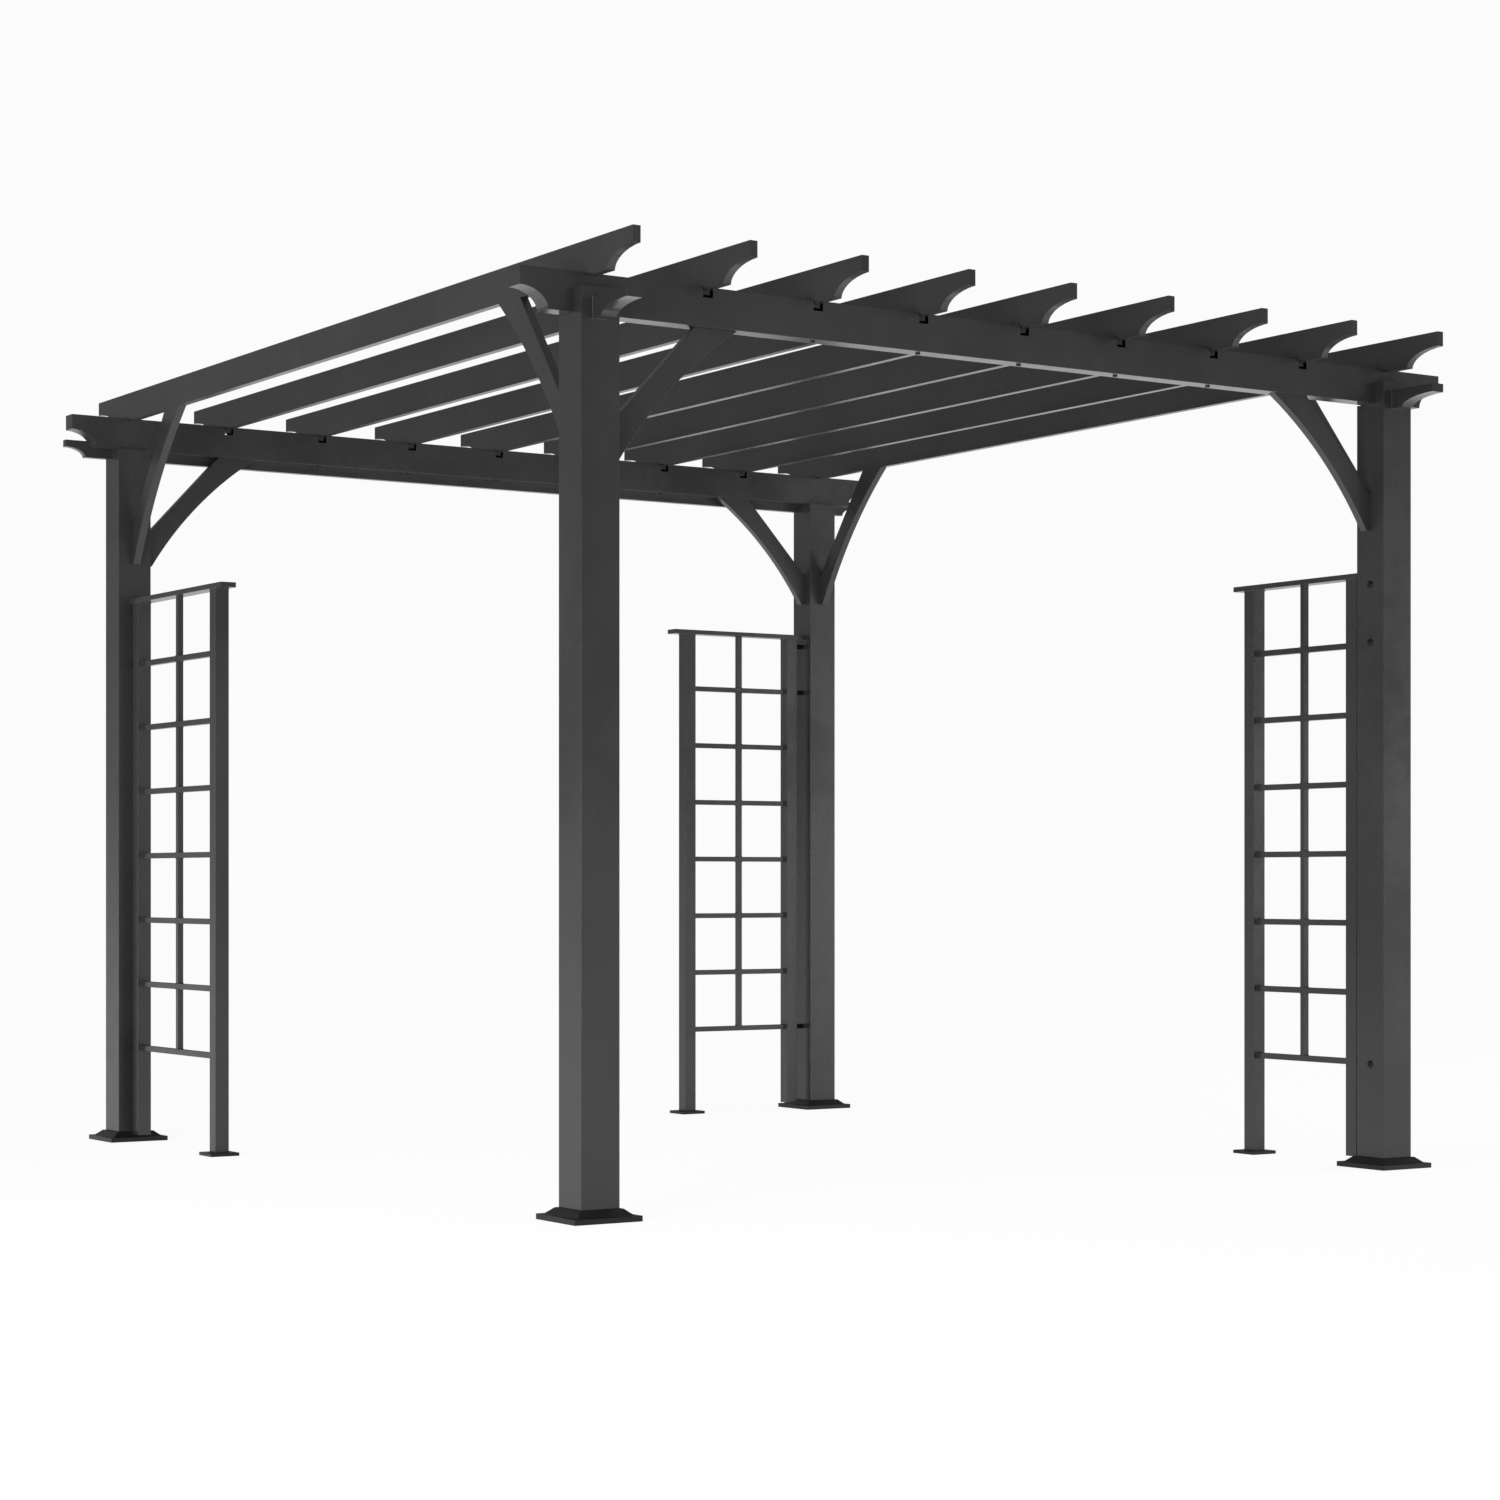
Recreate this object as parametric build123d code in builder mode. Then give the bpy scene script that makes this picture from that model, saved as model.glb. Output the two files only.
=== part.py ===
"""Free-standing square steel pergola with scalloped beam and rafter ends, arched braces and trellis panels.

Millimetres. X runs along the front beam, Y from front to back, Z up, origin on the ground at the centre.
"""

import os

from build123d import *

# posts
POST = 100
POST_WALL = 2
SPAN_X = 2470
SPAN_Y = 2700
CAP_T = 4
LUG_DEPTH = 34
LUG_TOP = 2099
POST_SIGNS = {"near": (-1, -1), "right": (1, -1), "left": (-1, 1), "back": (1, 1)}

# feet of the posts
PLATE = 156
PLATE_T = 6
ANCHOR_PITCH = 130
ANCHOR_D = 12
COVER = 176
COVER_EDGE = 13
COVER_T = 2
COLLAR_LOW = 150
COLLAR_HIGH = 114
COLLAR_TOP = 28
COVER_GAP = 0.5

# main beams
BEAM_L = 2846
BEAM_H = 92
BEAM_T = 50
BEAM_WALL = 2
BEAM_BOTTOM = 2043
BEAM_TOP = BEAM_BOTTOM + BEAM_H
BEAM_RUN = 72
BEAM_RISE = 49
BEAM_Y = SPAN_Y / 2 + POST / 2 - LUG_DEPTH - BEAM_T / 2

# lower rail behind the back beam
RAIL_L = 2846
RAIL_H = 48
RAIL_T = 22
RAIL_WALL = 1.5
RAIL_BOTTOM = 2018
RAIL_RUN = 60
RAIL_RISE = 28
RAIL_Y = BEAM_Y + BEAM_T / 2 + RAIL_T / 2

# stubs on the outer faces of the posts
STUB_L = 148
STUB_W = 40
STUB_H = 49
STUB_WALL = 2
STUB_BOTTOM = 2027
STUB_RUN = 110
STUB_RISE = 27

# rafters
RAFTERS = 9
RAFTER_L = 3114
RAFTER_W = 20
RAFTER_H = 82
RAFTER_WALL = 1.5
RAFTER_BOTTOM = 2129
RAFTER_RUN = 110
RAFTER_RISE = 44
RAFTER_PITCH = SPAN_X / (RAFTERS - 1)
NOTCH_H = BEAM_TOP - RAFTER_BOTTOM
SLOT_W = 28
SLOT_D = 24
TONGUE_L = 34
TONGUE_D = 16

# knee braces
BRACE_T = 22
BRACE_WALL = 2
BRACE_FOOT_LOW = 1703
BRACE_FOOT_HIGH = 1796
BRACE_TOE = 16
BRACE_HEAD_NEAR = 281
BRACE_HEAD_FAR = 397
BRACE_HEAD_NEAR_Y = 300
BRACE_HEAD_FAR_Y = 405
BRACE_SAG = 26

# trellis panels
STILE = 40
STILE_WALL = 1.5
STILE_GAP = 34
INNER_STILE_BOTTOM = 22
PANEL_WIDTH = {"left": 596, "back": 445, "right": 445}
PANEL_DIR = {"left": (0, -1), "back": (-1, 0), "right": (0, 1)}
CAP_RAIL_W = 46
CAP_RAIL_T = 14
CAP_RAIL_TOP = 1598
CAP_RAIL_OVER = 42
BAR = 16
BARS = 7
BAR_LOW = 277
BAR_PITCH = 188
FOOT = 84
FOOT_T = 9

# fasteners
SCREW_D = 6
SCREW_HEAD_D = 12
SCREW_HEAD_H = 4
BOLT_D = 8
BOLT_HEAD_D = 14
BOLT_HEAD_H = 5
BOLT_GRIP = 18
HOLE_GAP = 0.6
BEAM_BOLT_X = 30
RAIL_BOLT_X = (-820, 0, 820)
RAIL_BOLT_Z = RAIL_BOTTOM + RAIL_H / 2 + 8
STUD_D = 16
STUD_Z = (BAR_LOW, BAR_LOW + (BARS - 1) * BAR_PITCH, 1560)


def save(part, name):
    """Label the solid or group and write its STEP file."""
    part.label = name
    export_step(part, f"parts/{name}.step")


def upright(x, y, z, along):
    """A vertical plane through (x, y, z) whose local x runs along the ground direction."""
    direction = Vector(along[0], along[1], 0)
    return Plane(origin=(x, y, z), x_dir=direction, z_dir=direction.cross(Vector(0, 0, 1)))


def scalloped(length, height, run, rise, inset=0):
    """A bar's side view, centred, with a concave scallop under each end."""
    Rectangle(length - 2 * inset, height - 2 * inset)
    with Locations((-length / 2, -height / 2), (length / 2, -height / 2)):
        Ellipse(run + inset, rise + inset, mode=Mode.SUBTRACT)


def rafter_x(i):
    """The x of rafter number i, counted from 0."""
    return (i - (RAFTERS - 1) / 2) * RAFTER_PITCH


def post_xy(name):
    """The centre of a post on the ground."""
    sign_x, sign_y = POST_SIGNS[name]
    return sign_x * SPAN_X / 2, sign_y * SPAN_Y / 2


def panel_point(name, s):
    """A ground point on a trellis panel's line, s from its post's centre."""
    x, y = post_xy(name)
    along = PANEL_DIR[name]
    return x + along[0] * s, y + along[1] * s


def stud_planes(name, s):
    """Planes across a panel's three studs, s from its post's centre."""
    return [Plane(origin=(*panel_point(name, s), z), z_dir=(*PANEL_DIR[name], 0)) for z in STUD_Z]


def brace_line(name, axis):
    """Where a brace starts on its post, its ground direction, and the two ends of its head."""
    x, y = post_xy(name)
    sign_x, sign_y = POST_SIGNS[name]
    if axis == "x":
        return x, sign_y * BEAM_Y, (-sign_x, 0), BRACE_HEAD_NEAR, BRACE_HEAD_FAR, BEAM_BOTTOM
    return x, y, (0, -sign_y), BRACE_HEAD_NEAR_Y, BRACE_HEAD_FAR_Y, RAFTER_BOTTOM


# the beam's underside is free for a screw head except over the posts and braces
SCREWED_RAFTERS = range(2, RAFTERS - 2)
BRACES = [(name, axis) for name in POST_SIGNS for axis in ("x", "y")]
BRACE_BOLT_Z = (BRACE_FOOT_LOW + BRACE_FOOT_HIGH) / 2 + 10
STILE_NEAR = POST / 2 + STILE_GAP
STILE_TOP = CAP_RAIL_TOP - CAP_RAIL_T
HOLE_D = BOLT_D + HOLE_GAP

os.makedirs("parts", exist_ok=True)

# posts: a tube with a cap, notched for the beam so that its outer side stands up beside it
for post_name, (sign_x, sign_y) in POST_SIGNS.items():
    px, py = post_xy(post_name)
    lug_y = py + sign_y * (POST - LUG_DEPTH) / 2
    with BuildPart() as post:
        with BuildSketch(Plane.XY.offset(PLATE_T)):
            with Locations((px, py)):
                Rectangle(POST, POST)
        extrude(amount=BEAM_BOTTOM - PLATE_T)
        with BuildSketch(Plane.XY.offset(BEAM_BOTTOM)):
            with Locations((px, lug_y)):
                Rectangle(POST, LUG_DEPTH)
        extrude(amount=LUG_TOP - BEAM_BOTTOM)
        with BuildSketch(Plane.XY.offset(PLATE_T)):
            with Locations((px, py)):
                Rectangle(POST - 2 * POST_WALL, POST - 2 * POST_WALL)
        extrude(amount=BEAM_BOTTOM - CAP_T - PLATE_T, mode=Mode.SUBTRACT)
        with BuildSketch(Plane.XY.offset(BEAM_BOTTOM - CAP_T)):
            with Locations((px, lug_y)):
                Rectangle(POST - 2 * POST_WALL, LUG_DEPTH - 2 * POST_WALL)
        extrude(amount=LUG_TOP - POST_WALL - BEAM_BOTTOM + CAP_T, mode=Mode.SUBTRACT)
        # holes for the two bolts up into the beam
        with BuildSketch(Plane.XY.offset(BEAM_BOTTOM - CAP_T)):
            with Locations((px - BEAM_BOLT_X, sign_y * BEAM_Y), (px + BEAM_BOLT_X, sign_y * BEAM_Y)):
                Circle(HOLE_D / 2)
        extrude(amount=CAP_T, mode=Mode.SUBTRACT)
        # holes for the brace bolts
        for axis in ("x", "y"):
            bx, by, along, _, _, _ = brace_line(post_name, axis)
            hole_at = (bx + along[0] * (POST / 2 - POST_WALL), by + along[1] * (POST / 2 - POST_WALL))
            with BuildSketch(Plane(origin=(*hole_at, BRACE_BOLT_Z), z_dir=(along[0], along[1], 0))):
                Circle(HOLE_D / 2)
            extrude(amount=POST_WALL, mode=Mode.SUBTRACT)
        if post_name in PANEL_DIR:
            with BuildSketch(*stud_planes(post_name, POST / 2 - POST_WALL)):
                Circle(HOLE_D / 2)
            extrude(amount=POST_WALL, mode=Mode.SUBTRACT)
        if sign_y > 0:
            # slot that the lower rail runs through
            with BuildSketch(Plane.YZ.offset(px)):
                with Locations((RAIL_Y, RAIL_BOTTOM + RAIL_H / 2)):
                    Rectangle(RAIL_T, RAIL_H)
            extrude(amount=POST / 2, both=True, mode=Mode.SUBTRACT)
    save(post.part, f"post_{post_name}")

# base plates with anchor holes
for post_name in POST_SIGNS:
    px, py = post_xy(post_name)
    with BuildPart() as base_plate:
        with BuildSketch(Plane.XY):
            with Locations((px, py)):
                Rectangle(PLATE, PLATE)
                with GridLocations(ANCHOR_PITCH, ANCHOR_PITCH, 2, 2):
                    Circle(ANCHOR_D / 2, mode=Mode.SUBTRACT)
        extrude(amount=PLATE_T)
    save(base_plate.part, f"base_plate_{post_name}")

# hollow covers over the base plates: a flat flange and a sloped collar around the post
for post_name in POST_SIGNS:
    px, py = post_xy(post_name)
    with BuildPart() as base_cover:
        with BuildSketch(Plane.XY):
            with Locations((px, py)):
                Rectangle(COVER, COVER)
        extrude(amount=COVER_EDGE)
        for height, width in ((COVER_EDGE, COLLAR_LOW), (COLLAR_TOP, COLLAR_HIGH)):
            with BuildSketch(Plane.XY.offset(height)):
                with Locations((px, py)):
                    Rectangle(width, width)
        loft()
        with BuildSketch(Plane.XY):
            with Locations((px, py)):
                Rectangle(COVER - 2 * COVER_T, COVER - 2 * COVER_T)
        extrude(amount=COVER_EDGE - COVER_T, mode=Mode.SUBTRACT)
        for height, width in ((COVER_EDGE, COLLAR_LOW), (COLLAR_TOP, COLLAR_HIGH)):
            with BuildSketch(Plane.XY.offset(height - COVER_T)):
                with Locations((px, py)):
                    Rectangle(width - 2 * COVER_T, width - 2 * COVER_T)
        loft(mode=Mode.SUBTRACT)
        with BuildSketch(Plane.XY):
            with Locations((px, py)):
                Rectangle(POST + 2 * COVER_GAP, POST + 2 * COVER_GAP)
        extrude(amount=COLLAR_TOP, mode=Mode.SUBTRACT)
    save(base_cover.part, f"base_cover_{post_name}")

# main beams: hollow, slotted along the top for the rafters
for beam_name, side in (("front_beam", -1), ("back_beam", 1)):
    with BuildPart() as beam:
        with BuildSketch(upright(0, side * BEAM_Y, BEAM_BOTTOM + BEAM_H / 2, (1, 0))):
            scalloped(BEAM_L, BEAM_H, BEAM_RUN, BEAM_RISE)
        extrude(amount=BEAM_T / 2, both=True)
        with BuildSketch(upright(0, side * BEAM_Y, BEAM_BOTTOM + BEAM_H / 2, (1, 0))):
            scalloped(BEAM_L, BEAM_H, BEAM_RUN, BEAM_RISE, BEAM_WALL)
        extrude(amount=BEAM_T / 2 - BEAM_WALL, both=True, mode=Mode.SUBTRACT)
        with BuildSketch(upright(0, side * BEAM_Y, BEAM_TOP - SLOT_D / 2, (1, 0))):
            with Locations(*[(rafter_x(i), 0) for i in range(1, RAFTERS - 1)]):
                Rectangle(SLOT_W, SLOT_D)
        extrude(amount=BEAM_T / 2, both=True, mode=Mode.SUBTRACT)
        with BuildSketch(Plane.XY.offset(BEAM_BOTTOM)):
            with Locations(*[(rafter_x(i), side * BEAM_Y) for i in SCREWED_RAFTERS]):
                Circle((SCREW_D + HOLE_GAP) / 2)
            for sign in (-1, 1):
                post_x = sign * SPAN_X / 2
                with Locations((post_x - BEAM_BOLT_X, side * BEAM_Y), (post_x + BEAM_BOLT_X, side * BEAM_Y)):
                    Circle(HOLE_D / 2)
                head_mid = (BRACE_HEAD_NEAR + BRACE_HEAD_FAR) / 2
                with Locations((post_x - sign * head_mid, side * BEAM_Y)):
                    Circle(HOLE_D / 2)
        extrude(amount=BEAM_WALL, mode=Mode.SUBTRACT)
        if side > 0:
            with BuildSketch(Plane.XZ.offset(-(BEAM_Y + BEAM_T / 2 - BEAM_WALL))):
                with Locations(*[(x, RAIL_BOLT_Z) for x in RAIL_BOLT_X]):
                    Circle(HOLE_D / 2)
            extrude(amount=-BEAM_WALL, mode=Mode.SUBTRACT)
    save(beam.part, beam_name)

# lower rail against the outside of the back beam
with BuildPart() as back_rail:
    with BuildSketch(upright(0, RAIL_Y, RAIL_BOTTOM + RAIL_H / 2, (1, 0))):
        scalloped(RAIL_L, RAIL_H, RAIL_RUN, RAIL_RISE)
    extrude(amount=RAIL_T / 2, both=True)
    with BuildSketch(upright(0, RAIL_Y, RAIL_BOTTOM + RAIL_H / 2, (1, 0))):
        scalloped(RAIL_L, RAIL_H, RAIL_RUN, RAIL_RISE, RAIL_WALL)
    extrude(amount=RAIL_T / 2 - RAIL_WALL, both=True, mode=Mode.SUBTRACT)
    with BuildSketch(upright(0, RAIL_Y, RAIL_BOLT_Z, (1, 0))):
        with Locations(*[(x, 0) for x in RAIL_BOLT_X]):
            Circle(HOLE_D / 2)
    extrude(amount=RAIL_T / 2, both=True, mode=Mode.SUBTRACT)
save(back_rail.part, "back_rail")

# stubs: open towards the post, scalloped at the free end
for post_name, (sign_x, sign_y) in POST_SIGNS.items():
    px, py = post_xy(post_name)
    stub_plane = upright(px, py + sign_y * POST / 2, STUB_BOTTOM, (0, sign_y))
    with BuildPart() as stub:
        for inset, mode in ((0, Mode.ADD), (STUB_WALL, Mode.SUBTRACT)):
            with BuildSketch(stub_plane):
                with Locations((0, inset)):
                    Rectangle(STUB_L - inset, STUB_H - 2 * inset, align=(Align.MIN, Align.MIN))
                with Locations((STUB_L, 0)):
                    Ellipse(STUB_RUN + inset, STUB_RISE + inset, mode=Mode.SUBTRACT)
            extrude(amount=STUB_W / 2 - inset, both=True, mode=mode)
    save(stub.part, f"stub_{post_name}")

# rafters: hollow, notched over the beams, with a tongue down into each slot
for i in range(RAFTERS):
    rx = rafter_x(i)
    side_view = upright(rx, 0, RAFTER_BOTTOM + RAFTER_H / 2, (0, 1))
    inner_rafter = 0 < i < RAFTERS - 1
    with BuildPart() as rafter:
        with BuildSketch(side_view):
            scalloped(RAFTER_L, RAFTER_H, RAFTER_RUN, RAFTER_RISE)
        extrude(amount=RAFTER_W / 2, both=True)
        with BuildSketch(side_view):
            scalloped(RAFTER_L, RAFTER_H, RAFTER_RUN, RAFTER_RISE, RAFTER_WALL)
            for side in (-1, 1):
                with Locations((side * BEAM_Y, -RAFTER_H / 2 + NOTCH_H)):
                    Rectangle(BEAM_T + 2 * RAFTER_WALL, 2 * RAFTER_WALL, mode=Mode.SUBTRACT)
        extrude(amount=RAFTER_W / 2 - RAFTER_WALL, both=True, mode=Mode.SUBTRACT)
        with BuildSketch(Plane.XY.offset(RAFTER_BOTTOM)):
            with Locations((rx, -BEAM_Y), (rx, BEAM_Y)):
                Rectangle(RAFTER_W, BEAM_T)
        extrude(amount=NOTCH_H, mode=Mode.SUBTRACT)
        if inner_rafter:
            with BuildSketch(Plane.XY.offset(BEAM_TOP - TONGUE_D)):
                with Locations((rx, -BEAM_Y), (rx, BEAM_Y)):
                    Rectangle(RAFTER_W, TONGUE_L)
                    Circle((SCREW_D + HOLE_GAP) / 2, mode=Mode.SUBTRACT)
            extrude(amount=TONGUE_D)
            with BuildSketch(Plane.XY.offset(BEAM_TOP)):
                with Locations((rx, -BEAM_Y), (rx, BEAM_Y)):
                    Circle((SCREW_D + HOLE_GAP) / 2)
            extrude(amount=3 * RAFTER_WALL, mode=Mode.SUBTRACT)
        else:
            # bolt holes for the braces under the end rafters
            head_y = SPAN_Y / 2 - (BRACE_HEAD_NEAR_Y + BRACE_HEAD_FAR_Y) / 2
            with BuildSketch(Plane.XY.offset(RAFTER_BOTTOM)):
                with Locations((rx, -head_y), (rx, head_y)):
                    Circle(HOLE_D / 2)
            extrude(amount=RAFTER_WALL, mode=Mode.SUBTRACT)
    save(rafter.part, f"rafter_{i + 1}")

# knee braces: hollow, straight above, arched below
for post_name, axis in BRACES:
    bx, by, along, head_near, head_far, head_z = brace_line(post_name, axis)
    foot_s = POST / 2
    toe_s = foot_s + BRACE_TOE
    mid_s = (toe_s + head_far) / 2
    mid_z = (BRACE_FOOT_LOW + head_z) / 2
    chord = Vector(head_far - toe_s, head_z - BRACE_FOOT_LOW)
    bulge = Vector(-chord.Y, chord.X).normalized() * BRACE_SAG
    with BuildPart() as brace:
        for wall, mode in ((0, Mode.ADD), (BRACE_WALL, Mode.SUBTRACT)):
            with BuildSketch(upright(bx, by, 0, along)):
                with BuildLine():
                    Polyline(
                        (toe_s, BRACE_FOOT_LOW),
                        (foot_s, BRACE_FOOT_LOW),
                        (foot_s, BRACE_FOOT_HIGH),
                        (head_near, head_z),
                        (head_far, head_z),
                    )
                    ThreePointArc(
                        (head_far, head_z),
                        (mid_s + bulge.X, mid_z + bulge.Y),
                        (toe_s, BRACE_FOOT_LOW),
                    )
                make_face()
                if wall:
                    offset(amount=-wall, kind=Kind.INTERSECTION, mode=Mode.REPLACE)
            extrude(amount=BRACE_T / 2 - wall, both=True, mode=mode)
        with BuildSketch(Plane(origin=(bx + along[0] * foot_s, by + along[1] * foot_s, BRACE_BOLT_Z),
                               z_dir=(along[0], along[1], 0))):
            Circle(HOLE_D / 2)
        extrude(amount=BRACE_WALL, mode=Mode.SUBTRACT)
        head_s = (head_near + head_far) / 2
        with BuildSketch(Plane.XY.offset(head_z)):
            with Locations((bx + along[0] * head_s, by + along[1] * head_s)):
                Circle(HOLE_D / 2)
        extrude(amount=-BRACE_WALL, mode=Mode.SUBTRACT)
    save(brace.part, f"brace_{post_name}_{axis}")

# trellis panels
for panel_name, (dir_x, dir_y) in PANEL_DIR.items():
    width = PANEL_WIDTH[panel_name]
    stile_far = STILE_NEAR + width - STILE

    for stile_name, s0, bottom in (("inner", STILE_NEAR, INNER_STILE_BOTTOM), ("outer", stile_far, FOOT_T)):
        sx, sy = panel_point(panel_name, s0 + STILE / 2)
        with BuildPart() as stile:
            with BuildSketch(Plane.XY.offset(bottom)):
                with Locations((sx, sy)):
                    Rectangle(STILE, STILE)
                    Rectangle(STILE - 2 * STILE_WALL, STILE - 2 * STILE_WALL, mode=Mode.SUBTRACT)
            extrude(amount=STILE_TOP - bottom)
            if stile_name == "inner":
                with BuildSketch(*stud_planes(panel_name, s0)):
                    Circle(HOLE_D / 2)
                extrude(amount=STILE_WALL, mode=Mode.SUBTRACT)
        save(stile.part, f"{panel_name}_{stile_name}_stile")

    rail_end = stile_far + STILE + CAP_RAIL_OVER
    rail_mid = (POST / 2 + rail_end) / 2
    rail_size = (
        abs(dir_x) * (rail_end - POST / 2) + abs(dir_y) * CAP_RAIL_W,
        abs(dir_y) * (rail_end - POST / 2) + abs(dir_x) * CAP_RAIL_W,
    )
    with BuildPart() as cap_rail:
        with BuildSketch(Plane.XY.offset(STILE_TOP)):
            with Locations(panel_point(panel_name, rail_mid)):
                Rectangle(*rail_size)
        extrude(amount=CAP_RAIL_T)
    save(cap_rail.part, f"{panel_name}_cap_rail")

    bar_mid = STILE_NEAR + width / 2
    centre_bottom = BAR_LOW + BAR / 2
    with BuildPart() as centre_bar:
        with BuildSketch(Plane.XY.offset(centre_bottom)):
            with Locations(panel_point(panel_name, bar_mid)):
                Rectangle(BAR, BAR)
        extrude(amount=STILE_TOP - centre_bottom)
    save(centre_bar.part, f"{panel_name}_centre_bar")

    # the lowest cross bar is one piece, the others are welded to the centre bar on both sides
    bay = ((STILE_NEAR + STILE, bar_mid - BAR / 2), (bar_mid + BAR / 2, stile_far))
    with BuildPart() as cross_bars:
        for level in range(BARS):
            z = BAR_LOW + level * BAR_PITCH
            spans = bay if level else ((STILE_NEAR + STILE, stile_far),)
            for start, end in spans:
                sx, sy = panel_point(panel_name, start)
                bar_start = Plane(origin=(sx, sy, z), x_dir=(dir_y, -dir_x, 0), z_dir=(dir_x, dir_y, 0))
                with BuildSketch(bar_start):
                    Rectangle(BAR, BAR)
                extrude(amount=end - start)
    save(cross_bars.part, f"{panel_name}_cross_bars")

    with BuildPart() as foot_plate:
        with BuildSketch(Plane.XY):
            with Locations(panel_point(panel_name, stile_far + STILE / 2)):
                Rectangle(FOOT, FOOT)
        extrude(amount=FOOT_T)
    save(foot_plate.part, f"{panel_name}_foot_plate")


# screws up through the beams into the rafters' tongues, as underside planes of the heads
screw_planes = [
    Plane(origin=(rafter_x(i), side * BEAM_Y, BEAM_BOTTOM), z_dir=(0, 0, 1))
    for i in SCREWED_RAFTERS
    for side in (-1, 1)
]
with BuildPart() as rafter_screws:
    with BuildSketch(*screw_planes):
        Circle(SCREW_HEAD_D / 2)
    extrude(amount=-SCREW_HEAD_H)
    with BuildSketch(*screw_planes):
        Circle(SCREW_D / 2)
    extrude(amount=BEAM_H + RAFTER_WALL)
save(rafter_screws.part, "rafter_screws")

# bolts up from the post caps into the beams
beam_bolt_planes = [
    Plane(origin=(post_xy(name)[0] + dx, POST_SIGNS[name][1] * BEAM_Y, BEAM_BOTTOM - CAP_T), z_dir=(0, 0, 1))
    for name in POST_SIGNS
    for dx in (-BEAM_BOLT_X, BEAM_BOLT_X)
]
# bolts through the lower rail into the back beam
rail_bolt_planes = [
    Plane(origin=(x, RAIL_Y + RAIL_T / 2, RAIL_BOLT_Z), z_dir=(0, -1, 0)) for x in RAIL_BOLT_X
]
# bolts from inside the posts, beams and end rafters into the braces
brace_bolt_planes = []
for post_name, axis in BRACES:
    bx, by, along, head_near, head_far, head_z = brace_line(post_name, axis)
    inside = POST / 2 - POST_WALL
    head_s = (head_near + head_far) / 2
    wall = BEAM_WALL if axis == "x" else RAFTER_WALL
    foot_at = (bx + along[0] * inside, by + along[1] * inside, BRACE_BOLT_Z)
    head_at = (bx + along[0] * head_s, by + along[1] * head_s, head_z + wall)
    brace_bolt_planes.append(Plane(origin=foot_at, z_dir=(*along, 0)))
    brace_bolt_planes.append(Plane(origin=head_at, z_dir=(0, 0, -1)))

for bolts_name, planes, length in (
    ("beam_bolts", beam_bolt_planes, CAP_T + BOLT_GRIP),
    ("rail_bolts", rail_bolt_planes, RAIL_T + BOLT_GRIP),
    ("brace_bolts", brace_bolt_planes, POST_WALL + BOLT_GRIP),
):
    with BuildPart() as bolts:
        with BuildSketch(*planes):
            Circle(BOLT_HEAD_D / 2)
        extrude(amount=-BOLT_HEAD_H)
        with BuildSketch(*planes):
            Circle(BOLT_D / 2)
        extrude(amount=length)
    save(bolts.part, bolts_name)

# threaded studs that hold each trellis panel off its post
collar_planes = [plane for name in PANEL_DIR for plane in stud_planes(name, POST / 2)]
thread_planes = [plane for name in PANEL_DIR for plane in stud_planes(name, POST / 2 - BOLT_GRIP)]
with BuildPart() as trellis_studs:
    with BuildSketch(*collar_planes):
        Circle(STUD_D / 2)
    extrude(amount=STILE_GAP)
    with BuildSketch(*thread_planes):
        Circle(BOLT_D / 2)
    extrude(amount=STILE_GAP + 2 * BOLT_GRIP)
save(trellis_studs.part, "trellis_studs")
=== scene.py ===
"""Finishes, small fittings, light and camera for a powder-coated steel pergola with trellis panels.

Metres. X runs along the front beam, Y from front to back, Z up, origin on the ground at the centre.
"""

import math

import bpy
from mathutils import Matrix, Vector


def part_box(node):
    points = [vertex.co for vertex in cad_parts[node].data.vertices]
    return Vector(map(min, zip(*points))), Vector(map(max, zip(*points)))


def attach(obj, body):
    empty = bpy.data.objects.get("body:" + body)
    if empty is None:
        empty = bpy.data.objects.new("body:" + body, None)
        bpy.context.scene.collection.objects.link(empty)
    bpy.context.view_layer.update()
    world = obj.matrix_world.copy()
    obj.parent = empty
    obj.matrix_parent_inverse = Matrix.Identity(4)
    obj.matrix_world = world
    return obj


bl_info = {
    "name": "Steel pergola finish",
    "version": (1, 0, 0),
    "blender": (4, 5, 0),
    "location": "3D View > Sidebar > Pergola",
    "description": "Powder coat, welds, screws, light and camera for a steel pergola",
    "category": "Object",
}

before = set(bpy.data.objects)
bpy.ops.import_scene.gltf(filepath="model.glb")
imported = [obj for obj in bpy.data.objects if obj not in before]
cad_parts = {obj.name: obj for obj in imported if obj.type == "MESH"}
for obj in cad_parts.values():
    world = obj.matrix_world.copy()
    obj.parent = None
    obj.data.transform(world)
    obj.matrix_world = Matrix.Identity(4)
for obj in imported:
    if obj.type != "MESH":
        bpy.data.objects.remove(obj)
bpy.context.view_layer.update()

PANELS = ("left", "back", "right")
CORNERS = ("near", "right", "left", "back")
SIDE_SCREW_FACE = {"right": (-1, 0, 0), "left": (1, 0, 0), "back": (0, 1, 0)}

# sizes of texture features, as repeats in a metre
PATCHES_PER_METRE = 2.6
CLOUDS_PER_METRE = 21.0
CHIPS_PER_METRE = 160.0
SKIN_PER_METRE = 420.0
GRIT_PER_METRE = 1500.0
SPANGLES_PER_METRE = 85.0
STAINS_PER_METRE = 130.0
TURNING_PER_METRE = 2400.0

# radii of the rounded edges that the light sees
TUBE_EDGE = 0.0018
SCREW_EDGE = 0.0007

# height of the relief that each bump stands for
SKIN_RELIEF = 0.0004
SPANGLE_RELIEF = 0.0003
TURNING_RELIEF = 0.0002

DUST = (0.24, 0.23, 0.21, 1.0)
WHITE = (1.0, 1.0, 1.0, 1.0)
SCREW_SINK = 0.0002

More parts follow.
